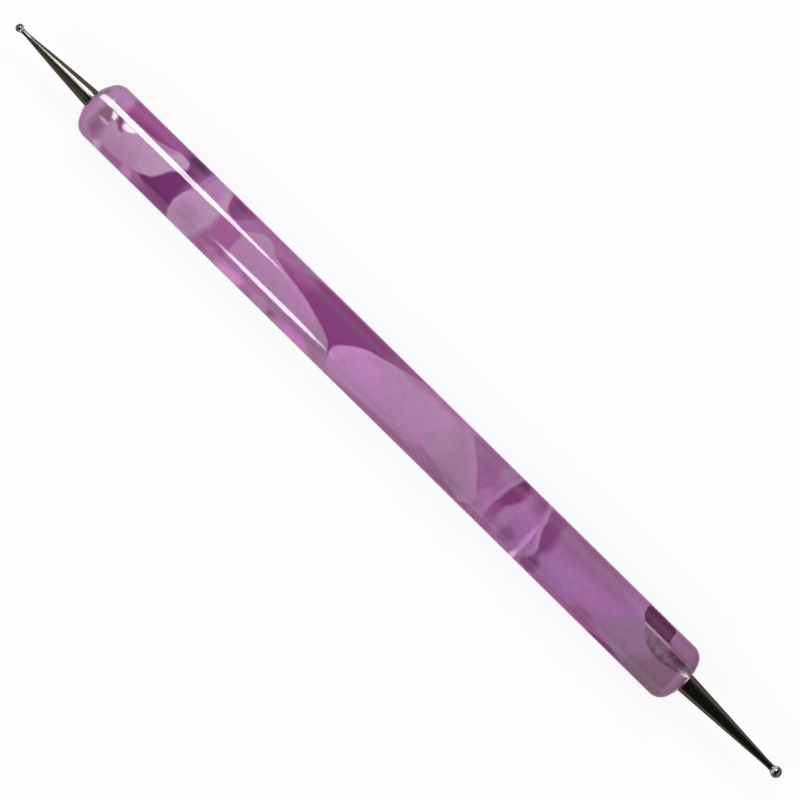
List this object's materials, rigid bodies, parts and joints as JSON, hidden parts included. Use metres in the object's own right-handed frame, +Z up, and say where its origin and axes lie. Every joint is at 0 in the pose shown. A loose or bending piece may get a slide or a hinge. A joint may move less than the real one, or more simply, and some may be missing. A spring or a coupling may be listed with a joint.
{
  "type": "embossing stylus",
  "caption": "Double-ended embossing stylus: a marbled acrylic barrel with a tapered steel pin and a small ball at each end, one fine and one broad.",
  "frame": {"origin": "on the tool's axis, at the middle of the handle's length", "axes": "+X along the tool towards the broad end, +Z up and +Y across it when the tool lies flat; a table it lies on is 4 mm below the origin"},
  "size_m": [0.1311, 0.008, 0.008],
  "materials": {
    "marbled_acrylic": "polished translucent purple acrylic with lilac pearl marbling",
    "plated_steel": "bright dark nickel plate over ground steel, with fine turning marks",
    "ball_steel": "polished steel ball under dark nickel plate",
    "solder": "smooth solder under dark plate, a little duller than the pin",
    "clear_adhesive": "cured clear adhesive"
  },
  "bodies": {
    "root": {"handle": "marbled_acrylic", "fine_pin": "plated_steel", "fine_ball": "ball_steel", "fine_solder": "solder", "fine_adhesive": "clear_adhesive", "broad_pin": "plated_steel", "broad_ball": "ball_steel", "broad_solder": "solder", "broad_adhesive": "clear_adhesive"}
  },
  "joints": []
}
